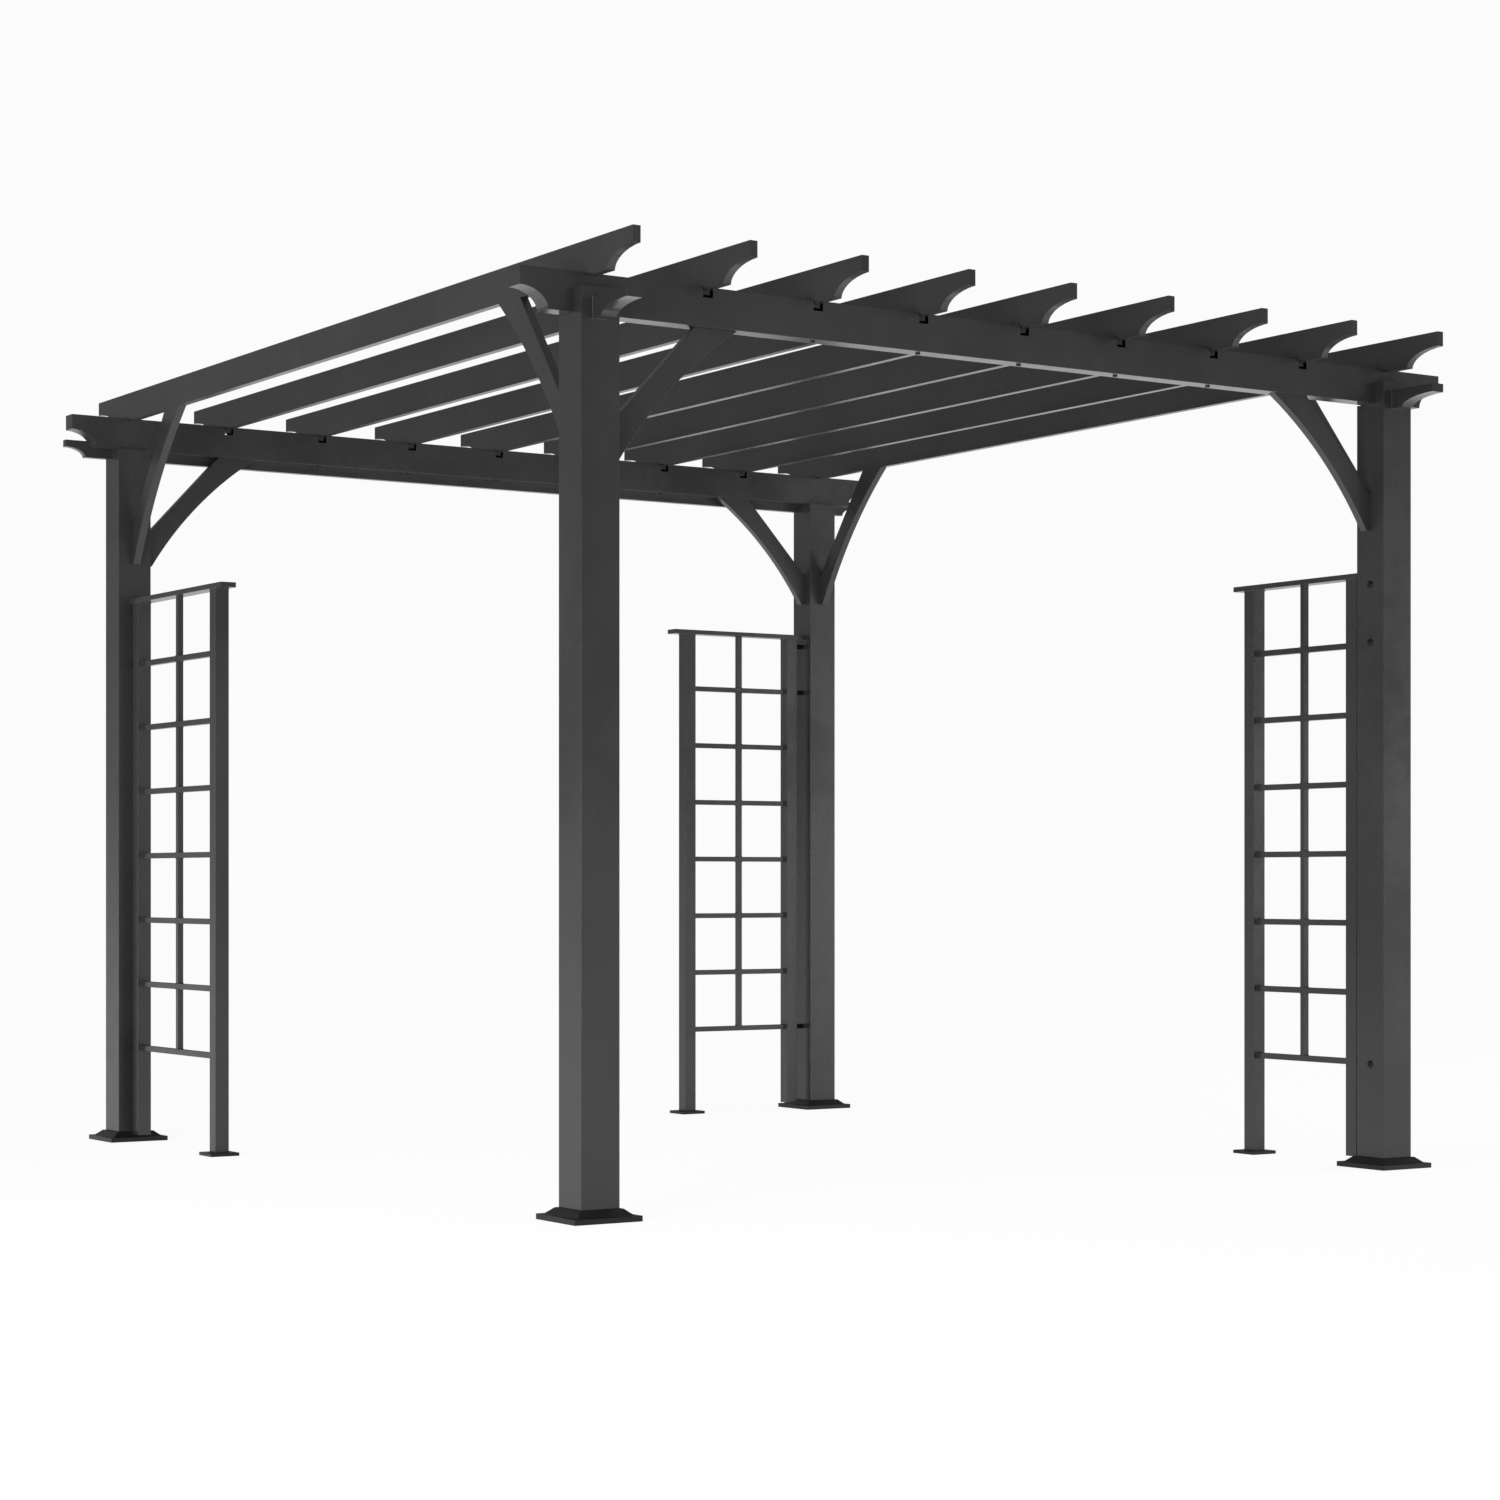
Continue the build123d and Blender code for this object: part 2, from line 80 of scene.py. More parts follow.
# stage
FLOOR_REACH = 300.0
FLOOR_DROP = 0.0005
LAMP_WIDTH = 3.0
LAMP_HEIGHT = 1.9
SIDE_LAMP_PLACE = (-5.6, -3.7, 1.1)
SIDE_LAMP_TURN = -60
FRONT_LAMP_PLACE = (7.2, -3.6, 1.1)
FRONT_LAMP_TURN = 63
CAMERA_PLACE = (-4.8648, -7.5332, 0.7604)
CAMERA_SHIFT = (0.0045, 0.0889)
CAMERA_REACH = 1000.0


# --- shader expressions ---------------------------------------------------


class Wire:
    """A shader value that Python's operators can be used on."""

    def __init__(self, tree, socket):
        self.tree = tree
        self.socket = socket

    def math(self, operation, first, second=0.0, clamp=False):
        node = self.tree.nodes.new("ShaderNodeMath")
        node.operation = operation
        node.use_clamp = clamp
        plug(self.tree, first, node.inputs[0])
        plug(self.tree, second, node.inputs[1])
        return Wire(self.tree, node.outputs[0])

    def __add__(self, other):
        return self.math("ADD", self, other)

    def __radd__(self, other):
        return self.math("ADD", other, self)

    def __sub__(self, other):
        return self.math("SUBTRACT", self, other)

    def __rsub__(self, other):
        return self.math("SUBTRACT", other, self)

    def __mul__(self, other):
        return self.math("MULTIPLY", self, other)

    def __rmul__(self, other):
        return self.math("MULTIPLY", other, self)

    def clamped(self):
        return self.math("ADD", self, 0.0, clamp=True)


def plug(tree, value, socket):
    """Link a wire to a socket, or set the socket to a plain value."""
    if isinstance(value, Wire):
        tree.links.new(value.socket, socket)
    else:
        socket.default_value = value


class Bench:
    """One node tree under construction."""

    def __init__(self, tree):
        self.tree = tree

    def node(self, kind, settings=None, values=None, output=0):
        """Add a node, set its settings, then its sockets, and return one of its outputs."""
        made = self.tree.nodes.new(kind)
        for key, setting in (settings or {}).items():
            setattr(made, key, setting)
        for key, value in (values or {}).items():
            plug(self.tree, value, made.inputs[key])
        return Wire(self.tree, made.outputs[output]) if made.outputs else None

    def noise(self, where, scale, detail=2.0, roughness=0.5):
        return self.node(
            "ShaderNodeTexNoise",
            values={"Vector": where, "Scale": scale, "Detail": detail, "Roughness": roughness},
        )

    def ease(self, value, low, high, start=0.0, end=1.0):
        """Smooth step from start to end as the value goes from low to high."""
        return self.node(
            "ShaderNodeMapRange",
            {"interpolation_type": "SMOOTHSTEP"},
            {"Value": value, "From Min": low, "From Max": high, "To Min": start, "To Max": end},
        )

    def match(self, first, second):
        """How nearly two directions agree, 1 where they are the same."""
        return self.node(
            "ShaderNodeVectorMath",
            {"operation": "DOT_PRODUCT"},
            {0: first, 1: second},
            output=1,
        )

    def tint(self, share, first, second):
        """Mix two colours."""
        return self.node(
            "ShaderNodeMix",
            {"data_type": "RGBA", "clamp_factor": True},
            {0: share, 6: first, 7: second},
            output=2,
        )


def shade(colour, factor):
    """A colour made lighter or darker, as a socket value."""
    return (colour[0] * factor, colour[1] * factor, colour[2] * factor, 1.0)


def new_finish(name):
    """An empty material and its bench."""
    finish = bpy.data.materials.new(name)
    finish.use_nodes = True
    finish.node_tree.nodes.clear()
    return finish, Bench(finish.node_tree)


def powder_coat(name, colour, gloss_low, gloss_high, wear, peel, dust, sheen=0.5):
    """Baked powder coat: orange-peel skin, soft patches, rubbed edges and a trace of dust."""
    finish, bench = new_finish(name)
    place = bench.node("ShaderNodeTexCoord", output=3)
    round_edge = bench.node("ShaderNodeBevel", {"samples": 4}, {"Radius": TUBE_EDGE})
    flat = bench.node("ShaderNodeNewGeometry", output=3)
    turn = bench.match(round_edge, flat)
    patches = bench.noise(place, PATCHES_PER_METRE, 4.0, 0.55)
    cloud = bench.noise(place, CLOUDS_PER_METRE, 3.0, 0.6)
    skin = bench.noise(place, SKIN_PER_METRE, 2.0, 0.5)
    grit = bench.noise(place, GRIT_PER_METRE, 1.0, 0.6)
    chips = bench.noise(place, CHIPS_PER_METRE, 3.0, 0.7)
    edge = bench.ease(turn, 0.995, 0.90)
    rubbed = edge * bench.ease(chips, 0.42, 0.62) * wear
    up = bench.node("ShaderNodeSeparateXYZ", values={0: flat}, output=2)
    settled = bench.ease(up, 0.55, 0.95) * bench.ease(cloud, 0.35, 0.75) * dust
    speck = bench.ease(grit, 0.66, 0.74) * 0.15
    body = bench.tint(bench.ease(patches, 0.3, 0.7), shade(colour, 0.86), shade(colour, 1.14))
    body = bench.tint(speck, body, shade(colour, 1.8))
    body = bench.tint(rubbed, body, shade(colour, 3.2))
    body = bench.tint(settled, body, DUST)
    rough = bench.ease(patches * 0.6 + cloud * 0.4, 0.34, 0.66, gloss_low, gloss_high)
    rough = (rough + rubbed * 0.14 + settled * 0.3 + grit * 0.05 - 0.025).clamped()
    relief = skin * 0.8 + grit * 0.2
    bump = bench.node(
        "ShaderNodeBump",
        values={"Strength": peel, "Distance": SKIN_RELIEF, "Height": relief, "Normal": round_edge},
    )
    surface = bench.node(
        "ShaderNodeBsdfPrincipled",
        values={"Base Color": body, "Roughness": rough, "Specular IOR Level": sheen, "Normal": bump},
    )
    bench.node("ShaderNodeOutputMaterial", values={"Surface": surface})
    return finish


def galvanised(name, colour):
    """Hot-dip zinc with spangle and dull patches."""
    finish, bench = new_finish(name)
    place = bench.node("ShaderNodeTexCoord", output=3)
    crystals = bench.node(
        "ShaderNodeTexVoronoi",
        values={"Vector": place, "Scale": SPANGLES_PER_METRE},
        output=1,
    )
    grain = bench.node("ShaderNodeSeparateColor", values={0: crystals}, output=0)
    cloud = bench.noise(place, 14.0, 4.0, 0.6)
    scratch = bench.noise(place, 900.0, 2.0, 0.6)
    body = bench.tint(grain, shade(colour, 0.78), shade(colour, 1.12))
    body = bench.tint(bench.ease(cloud, 0.5, 0.72), body, shade(colour, 0.6))
    rough = (grain * 0.16 + cloud * 0.22 + 0.24).clamped()
    bump = bench.node(
        "ShaderNodeBump",
        values={"Strength": 0.25, "Distance": SPANGLE_RELIEF, "Height": scratch * 0.5 + grain * 0.5},
    )
    surface = bench.node(
        "ShaderNodeBsdfPrincipled",
        values={"Base Color": body, "Roughness": rough, "Metallic": 0.92, "Normal": bump},
    )
    bench.node("ShaderNodeOutputMaterial", values={"Surface": surface})
    return finish


def blackened_steel(name, colour):
    """Black-zinc screws: dark metal with turning marks and worn corners."""
    finish, bench = new_finish(name)
    place = bench.node("ShaderNodeTexCoord", output=3)
    round_edge = bench.node("ShaderNodeBevel", {"samples": 4}, {"Radius": SCREW_EDGE})
    flat = bench.node("ShaderNodeNewGeometry", output=3)
    turn = bench.match(round_edge, flat)
    edge = bench.ease(turn, 0.99, 0.85)
    stain = bench.noise(place, STAINS_PER_METRE, 3.0, 0.6)
    fine = bench.noise(place, TURNING_PER_METRE, 2.0, 0.5)
    body = bench.tint(bench.ease(stain, 0.35, 0.65), shade(colour, 0.7), shade(colour, 1.3))
    body = bench.tint(edge * 0.6, body, shade(colour, 3.5))
    rough = (stain * 0.25 + fine * 0.12 + 0.16).clamped()
    bump = bench.node(
        "ShaderNodeBump",
        values={"Strength": 0.2, "Distance": TURNING_RELIEF, "Height": fine, "Normal": round_edge},
    )
    surface = bench.node(
        "ShaderNodeBsdfPrincipled",
        values={"Base Color": body, "Roughness": rough, "Metallic": 0.75, "Normal": bump},
    )
    bench.node("ShaderNodeOutputMaterial", values={"Surface": surface})
    return finish


def pale_floor(name, colour, glow):
    """Plain pale studio floor."""
    finish, bench = new_finish(name)
    place = bench.node("ShaderNodeTexCoord", output=3)
    cloud = bench.noise(place, 1.2, 2.0)
    body = bench.tint(cloud, shade(colour, 0.98), shade(colour, 1.02))
    surface = bench.node(
        "ShaderNodeBsdfPrincipled",
        values={
            "Base Color": body,
            "Roughness": 0.9,
            "Specular IOR Level": 0.0,
            "Emission Color": WHITE,
            "Emission Strength": glow,
        },
    )
    bench.node("ShaderNodeOutputMaterial", values={"Surface": surface})
    return finish


def dress(names, finish):
    """Give CAD nodes a finish on their objects' own slots."""
    for name in names:
        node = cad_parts[name]
        if not node.material_slots:
            node.data.materials.append(finish)
        for slot in node.material_slots:
            slot.material = finish


# --- geometry nodes -------------------------------------------------------


def new_tree(name, inputs):
    """A geometry node tree with named inputs, its bench and the wires of its inputs."""
    tree = bpy.data.node_groups.new(name, "GeometryNodeTree")
    tree.interface.new_socket("Geometry", in_out="INPUT", socket_type="NodeSocketGeometry")
    tree.interface.new_socket("Geometry", in_out="OUTPUT", socket_type="NodeSocketGeometry")
    for label, kind in inputs:
        tree.interface.new_socket(label, in_out="INPUT", socket_type=kind)
    entry = tree.nodes.new("NodeGroupInput")
    wires = {socket.name: Wire(tree, socket) for socket in entry.outputs if socket.name}
    return tree, Bench(tree), wires


def close_tree(bench, shape, finish):
    """End a tree in Realize Instances and Set Material."""
    real = bench.node("GeometryNodeRealizeInstances", values={"Geometry": shape})
    coated = bench.node("GeometryNodeSetMaterial", values={"Geometry": real, "Material": finish})
    bench.node("NodeGroupOutput", values={0: coated})


def weld_tree():
    """Overlapping ripples of a weld bead along every edge of a path mesh."""
    tree, bench, wires = new_tree(
        "weld_beads",
        [
            ("Bead width", "NodeSocketFloat"),
            ("Bead pitch", "NodeSocketFloat"),
            ("Seed", "NodeSocketInt"),
            ("Finish", "NodeSocketMaterial"),
        ],
    )
    path = bench.node("GeometryNodeMeshToCurve", values={"Mesh": wires["Geometry"]})
    steps = bench.node(
        "GeometryNodeResampleCurve",
        {"mode": "LENGTH"},
        {"Curve": path, "Length": wires["Bead pitch"]},
    )
    along = bench.node("GeometryNodeInputTangent")
    turned = bench.node("FunctionNodeAlignRotationToVector", {"axis": "Z"}, {"Vector": along})
    ripple = bench.node(
        "GeometryNodeMeshUVSphere",
        values={"Segments": 8, "Rings": 5, "Radius": wires["Bead width"] * 0.5},
    )
    soft = bench.node("GeometryNodeSetShadeSmooth", values={"Geometry": ripple})
    size = bench.node(
        "FunctionNodeRandomValue",
        {"data_type": "FLOAT_VECTOR"},
        {0: (0.86, 0.86, 0.62), 1: (1.12, 1.12, 0.82), "Seed": wires["Seed"]},
    )
    beads = bench.node(
        "GeometryNodeInstanceOnPoints",
        values={"Points": steps, "Instance": soft, "Rotation": turned, "Scale": size},
    )
    close_tree(bench, beads, wires["Finish"])
    return tree


def screw_tree():
    """Button-head screws with a hexagon socket and a thin washer, one on every point."""
    tree, bench, wires = new_tree(
        "button_screws",
        [
            ("Head width", "NodeSocketFloat"),
            ("Head height", "NodeSocketFloat"),
            ("Socket width", "NodeSocketFloat"),
            ("Finish", "NodeSocketMaterial"),
        ],
    )
    head = bench.node(
        "GeometryNodeMeshCone",
        values={
            "Vertices": 28,
            "Radius Top": wires["Head width"] * 0.33,
            "Radius Bottom": wires["Head width"] * 0.5,
            "Depth": wires["Head height"],
        },
    )
    hexagon = bench.node(
        "GeometryNodeMeshCylinder",
        values={
            "Vertices": 6,
            "Radius": wires["Socket width"] * 0.5,
            "Depth": wires["Head height"],
        },
    )
    lift = bench.node("ShaderNodeCombineXYZ", values={2: wires["Head height"] * 0.9})
    hexagon = bench.node("GeometryNodeTransform", values={"Geometry": hexagon, "Translation": lift})
    drilled = bench.node("GeometryNodeMeshBoolean", values={0: head, 1: hexagon})
    washer = bench.node(
        "GeometryNodeMeshCylinder",
        values={
            "Vertices": 28,
            "Radius": wires["Head width"] * 0.68,
            "Depth": wires["Head height"] * 0.28,
        },
    )
    whole = bench.tree.nodes.new("GeometryNodeJoinGeometry")
    bench.tree.links.new(drilled.socket, whole.inputs[0])
    bench.tree.links.new(washer.socket, whole.inputs[0])
    facing = bench.node(
        "GeometryNodeInputNamedAttribute",
        {"data_type": "FLOAT_VECTOR"},
        {"Name": "facing"},
    )
    turned = bench.node("FunctionNodeAlignRotationToVector", {"axis": "Z"}, {"Vector": facing})
    screws = bench.node(
        "GeometryNodeInstanceOnPoints",
        values={
            "Points": wires["Geometry"],
            "Instance": Wire(tree, whole.outputs[0]),
            "Rotation": turned,
        },
    )
    close_tree(bench, screws, wires["Finish"])
    return tree


def grow(name, mesh, tree, inputs):
    """Run a tree on a carrier mesh, keep the result as a plain mesh and let it ride on the frame."""
    carrier = bpy.data.objects.new(name + "_carrier", mesh)
    bpy.context.scene.collection.objects.link(carrier)
    run = carrier.modifiers.new("grow", "NODES")
    run.node_group = tree
    for item in tree.interface.items_tree:
        if item.in_out == "INPUT" and item.name in inputs:
            run[item.identifier] = inputs[item.name]
    graph = bpy.context.evaluated_depsgraph_get()
    shape = bpy.data.meshes.new_from_object(carrier.evaluated_get(graph), depsgraph=graph)
    carrier.modifiers.remove(run)
    bpy.data.objects.remove(carrier)
    if not shape.polygons:
        raise RuntimeError(f"{name} came out empty")
    shape.name = name
    piece = bpy.data.objects.new(name, shape)
    bpy.context.scene.collection.objects.link(piece)
    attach(piece, "root")
    return piece


def path_mesh(name, lines):
    """A mesh of loose edges, one for each line."""
    mesh = bpy.data.meshes.new(name + "_path")
    points = [point for line in lines for point in line]
    edges = [(2 * i, 2 * i + 1) for i in range(len(lines))]
    mesh.from_pydata(points, edges, [])
    return mesh


def point_mesh(name, spots):
    """A mesh of loose points, each with the way it faces."""
    mesh = bpy.data.meshes.new(name + "_points")
    mesh.from_pydata([spot for spot, _ in spots], [], [])
    facing = mesh.attributes.new("facing", "FLOAT_VECTOR", "POINT")
    facing.data.foreach_set("vector", [number for _, way in spots for number in way])
    return mesh


def ring(box_low, box_high, level):
    """Four lines round an upright tube at one height."""
    x0, y0, x1, y1 = box_low[0], box_low[1], box_high[0], box_high[1]
    corners = [(x0, y0, level), (x1, y0, level), (x1, y1, level), (x0, y1, level)]
    return list(zip(corners, corners[1:] + corners[:1]))


def panel_axes(panel):
    """The horizontal axis a panel runs along, and the one across it."""
    low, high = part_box(f"{panel}_cross_bars")
    run = 0 if high[0] - low[0] > high[1] - low[1] else 1
    return run, 1 - run


def at(run, along, across, level):
    """A point from its place along and across a panel."""
    point = [across, across, level]
    point[run] = along
    return tuple(point)


def panel_weld_lines(panel, levels):
    """Where a panel's bars, stiles, cap rail and foot are welded together."""
    run, across = panel_axes(panel)
    low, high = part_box(f"{panel}_cross_bars")
    mid_low, mid_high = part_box(f"{panel}_centre_bar")
    near, far = low[across], high[across]
    half = (far - near) / 2
    pitch = (high[2] - low[2] - 2 * half) / (levels - 1)
    lines = []
    for index in range(levels):
        level = low[2] + half + index * pitch
        for along in (low[run], high[run]):
            for edge in (level - half, level + half):
                lines.append((at(run, along, near, edge), at(run, along, far, edge)))
            for side in (near, far):
                lines.append((at(run, along, side, level - half), at(run, along, side, level + half)))
        for along in (mid_low[run], mid_high[run]):
            edges = (level - half, level + half) if index else (level + half,)
            for edge in edges:
                lines.append((at(run, along, near, edge), at(run, along, far, edge)))
    rail_low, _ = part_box(f"{panel}_cap_rail")
    _, foot_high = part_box(f"{panel}_foot_plate")
    for stile in ("inner_stile", "outer_stile"):
        lines += ring(*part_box(f"{panel}_{stile}"), rail_low[2])
    lines += ring(*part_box(f"{panel}_outer_stile"), foot_high[2])
    return lines


def stub_weld_lines(corner):
    """Where a stub is welded to the outer face of its post."""
    stub_low, stub_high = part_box(f"stub_{corner}")
    post_low, post_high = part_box(f"post_{corner}")
    x0, x1 = stub_low[0], stub_high[0]
    y0, y1 = stub_low[1], stub_high[1]
    bottom, top = stub_low[2], stub_high[2]
    centre_y = (post_low[1] + post_high[1]) / 2
    centre_x = (post_low[0] + post_high[0]) / 2
    if x1 - x0 > y1 - y0:
        face = post_low[0] if (x0 + x1) / 2 < centre_x else post_high[0]
        corners = [(face, y0, bottom), (face, y1, bottom), (face, y1, top), (face, y0, top)]
    else:
        face = post_low[1] if (y0 + y1) / 2 < centre_y else post_high[1]
        corners = [(x0, face, bottom), (x1, face, bottom), (x1, face, top), (x0, face, top)]
    return list(zip(corners, corners[1:] + corners[:1]))


def side_screw_spots(panel, heights, sink):
    """Screws on the side of a post, level with the panel's studs."""
    way = SIDE_SCREW_FACE[panel]
    low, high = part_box(f"post_{panel}")
    x = (low[0] + high[0]) / 2
    y = (low[1] + high[1]) / 2
    if way[0]:
        x = (high[0] if way[0] > 0 else low[0]) - way[0] * sink
    else:
        y = (high[1] if way[1] > 0 else low[1]) - way[1] * sink
    return [((x, y, height), way) for height in heights]


def softbox(context, name, place, turn, power):
    """An upright rectangular lamp that shines level, turned about the vertical from looking along Y."""
    lamp = bpy.data.lights.new(name, "AREA")
    lamp.shape = "RECTANGLE"
    lamp.size = LAMP_WIDTH
    lamp.size_y = LAMP_HEIGHT
    lamp.energy = power
    box = bpy.data.objects.new(name, lamp)
    box.location = place
    box.rotation_euler = (math.radians(90), 0.0, math.radians(turn))
    context.scene.collection.objects.link(box)


# --- settings -------------------------------------------------------------


class PergolaCoatSettings(bpy.types.PropertyGroup):
    """Colours and gloss of the steel."""

    coat: bpy.props.FloatVectorProperty(
        name="Coat colour",
        description="Colour of the powder coat on the frame",
        default=(0.032, 0.0323, 0.0330),
        min=0.0,
        max=1.0,
        subtype="COLOR",
    )
    cover: bpy.props.FloatVectorProperty(
        name="Cover colour",
        description="Colour of the base covers and foot plates",
        default=(0.0085, 0.0086, 0.009),
        min=0.0,
        max=1.0,
        subtype="COLOR",
    )
    screw: bpy.props.FloatVectorProperty(
        name="Screw colour",
        description="Colour of the black-zinc screws and bolts",
        default=(0.022, 0.022, 0.023),
        min=0.0,
        max=1.0,
        subtype="COLOR",
    )
    zinc: bpy.props.FloatVectorProperty(
        name="Zinc colour",
        description="Colour of the galvanised base plates",
        default=(0.42, 0.43, 0.44),
        min=0.0,
        max=1.0,
        subtype="COLOR",
    )
    gloss: bpy.props.FloatProperty(
        name="Coat roughness",
        description="Roughness of the glossiest patches of the powder coat",
        default=0.22,
        min=0.05,
        max=0.9,
        subtype="FACTOR",
    )
    wear: bpy.props.FloatProperty(
        name="Edge wear",
        description="How far the coat is rubbed along its edges",
        default=0.35,
        min=0.0,
        max=1.0,
        subtype="FACTOR",
    )
    peel: bpy.props.FloatProperty(
        name="Orange peel",
        description="Strength of the fine dimples in the coat",
        default=0.05,
        min=0.0,
        max=1.0,
        subtype="FACTOR",
    )


class PergolaFittingSettings(bpy.types.PropertyGroup):
    """Sizes of welds and screws."""

    bead_width: bpy.props.FloatProperty(
        name="Weld bead width",
        description="Width of a weld bead on the trellis",
        default=0.0042,
        min=0.001,
        subtype="DISTANCE",
        unit="LENGTH",
    )
    bead_pitch: bpy.props.FloatProperty(
        name="Weld ripple pitch",
        description="Distance between two ripples of a weld",
        default=0.0021,
        min=0.0005,
        subtype="DISTANCE",
        unit="LENGTH",
    )
    bar_levels: bpy.props.IntProperty(
        name="Bar levels",
        description="How many levels of cross bars a trellis panel has",
        default=7,
        min=2,
    )
    head_width: bpy.props.FloatProperty(
        name="Screw head width",
        description="Width of the button heads beside the trellis panels",
        default=0.016,
        min=0.004,
        subtype="DISTANCE",
        unit="LENGTH",
    )
    head_height: bpy.props.FloatProperty(
        name="Screw head height",
        description="Height of the button heads beside the trellis panels",
        default=0.005,
        min=0.001,
        subtype="DISTANCE",
        unit="LENGTH",
    )
    screw_low: bpy.props.FloatProperty(
        name="Lowest side screw",
        description="Height of the lowest side screw above the ground",
        default=0.277,
        subtype="DISTANCE",
        unit="LENGTH",
    )
    screw_middle: bpy.props.FloatProperty(
        name="Middle side screw",
        description="Height of the middle side screw above the ground",
        default=1.405,
        subtype="DISTANCE",
        unit="LENGTH",
    )
    screw_high: bpy.props.FloatProperty(
        name="Highest side screw",
        description="Height of the highest side screw above the ground",
        default=1.56,
        subtype="DISTANCE",
        unit="LENGTH",
    )


class PergolaStageSettings(bpy.types.PropertyGroup):
    """Floor, light and camera."""

    floor: bpy.props.FloatVectorProperty(
        name="Floor colour",
        description="Colour of the studio floor",
        default=(0.25, 0.25, 0.25),
        min=0.0,
        max=1.0,
        subtype="COLOR",
    )
    glow: bpy.props.FloatProperty(
        name="Floor glow",
        description="Light that the pale floor gives back",
        default=0.895,
        min=0.0,
    )
    sky: bpy.props.FloatProperty(
        name="Studio light",
        description="Strength of the even white light all round",
        default=0.28,
        min=0.0,
    )
    backdrop: bpy.props.FloatProperty(
        name="Backdrop",
        description="Brightness of the backdrop as it is seen",
        default=0.965,
        min=0.0,
    )
    key: bpy.props.FloatProperty(
        name="Side softbox",
        description="Power of the large softbox on the left",
        default=150.0,
        min=0.0,
    )
    fill: bpy.props.FloatProperty(
        name="Front softbox",
        description="Power of the large softbox in front",
        default=110.0,
        min=0.0,
    )
    lens: bpy.props.FloatProperty(
        name="Lens",
        description="Focal length of the camera",
        default=76.147,
        min=10.0,
        subtype="DISTANCE_CAMERA",
    )
    turn: bpy.props.FloatProperty(
        name="Camera turn",
        description="How far the camera is turned from looking straight at the front beam",
        default=0.57937,
        subtype="ANGLE",
        unit="ROTATION",
    )


# --- operators ------------------------------------------------------------


class PERGOLA_OT_coat_frame(bpy.types.Operator):
    """Powder-coat the posts, beams, rafters, stubs and knee braces"""

    bl_idname = "pergola.coat_frame"
    bl_label = "Coat frame"

    def execute(self, context):
        look = context.scene.pergola_coat
        gloss = look.gloss
        coat = powder_coat("frame_coat", look.coat, gloss, gloss + 0.08, look.wear, look.peel, 0.05)
        heads = ("post_", "stub_", "brace_", "front_beam", "back_beam", "back_rail", "rafter_")
        names = [
            name
            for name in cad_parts
            if name.startswith(heads) and not name.endswith(("screws", "bolts"))
        ]
        if not names:
            raise RuntimeError("no frame nodes to coat")
        dress(names, coat)
        return {"FINISHED"}


class PERGOLA_OT_coat_trellis(bpy.types.Operator):
    """Powder-coat the stiles, bars and cap rails of the trellis panels"""

    bl_idname = "pergola.coat_trellis"
    bl_label = "Coat trellis"

    def execute(self, context):
        look = context.scene.pergola_coat
        gloss = look.gloss
        coat = powder_coat("trellis_coat", look.coat, gloss, gloss + 0.10, look.wear, look.peel, 0.05)
        parts = ("inner_stile", "outer_stile", "cap_rail", "centre_bar", "cross_bars")
        dress([f"{panel}_{part}" for panel in PANELS for part in parts], coat)
        return {"FINISHED"}


class PERGOLA_OT_coat_feet(bpy.types.Operator):
    """Finish the base covers, foot plates and hidden base plates"""

    bl_idname = "pergola.coat_feet"
    bl_label = "Coat feet"

    def execute(self, context):
        look = context.scene.pergola_coat
        gloss = look.gloss + 0.1
        cover = powder_coat(
            "cover_coat", look.cover, gloss, gloss + 0.14, look.wear, look.peel, 0.07, 0.3
        )
        dress([f"base_cover_{corner}" for corner in CORNERS], cover)
        dress([f"{panel}_foot_plate" for panel in PANELS], cover)
        zinc = galvanised("plate_zinc", look.zinc)
        dress([f"base_plate_{corner}" for corner in CORNERS], zinc)
        return {"FINISHED"}


class PERGOLA_OT_finish_fasteners(bpy.types.Operator):
    """Finish the screws, bolts and trellis studs"""

    bl_idname = "pergola.finish_fasteners"
    bl_label = "Finish fasteners"

    def execute(self, context):
        look = context.scene.pergola_coat
        steel = blackened_steel("fastener_zinc", look.screw)
        dress(["rafter_screws", "beam_bolts", "rail_bolts", "brace_bolts", "trellis_studs"], steel)
        return {"FINISHED"}


class PERGOLA_OT_trellis_welds(bpy.types.Operator):
    """Lay weld beads where bars, stiles, cap rails and feet meet"""

    bl_idname = "pergola.trellis_welds"
    bl_label = "Trellis welds"

    def execute(self, context):
        sizes = context.scene.pergola_fittings
        tree = weld_tree()
        for number, panel in enumerate(PANELS):
            name = f"{panel}_panel_welds"
            inputs = {
                "Bead width": sizes.bead_width,
                "Bead pitch": sizes.bead_pitch,
                "Seed": 11 + number,
                "Finish": bpy.data.materials["trellis_coat"],
            }
            lines = panel_weld_lines(panel, sizes.bar_levels)
            grow(name, path_mesh(name, lines), tree, inputs)
        return {"FINISHED"}


class PERGOLA_OT_stub_welds(bpy.types.Operator):
    """Lay weld beads where the stubs meet the posts"""

    bl_idname = "pergola.stub_welds"
    bl_label = "Stub welds"

    def execute(self, context):
        sizes = context.scene.pergola_fittings
        lines = [line for corner in CORNERS for line in stub_weld_lines(corner)]
        inputs = {
            "Bead width": sizes.bead_width,
            "Bead pitch": sizes.bead_pitch,
            "Seed": 29,
            "Finish": bpy.data.materials["frame_coat"],
        }
        grow("stub_welds", path_mesh("stub_welds", lines), weld_tree(), inputs)
        return {"FINISHED"}


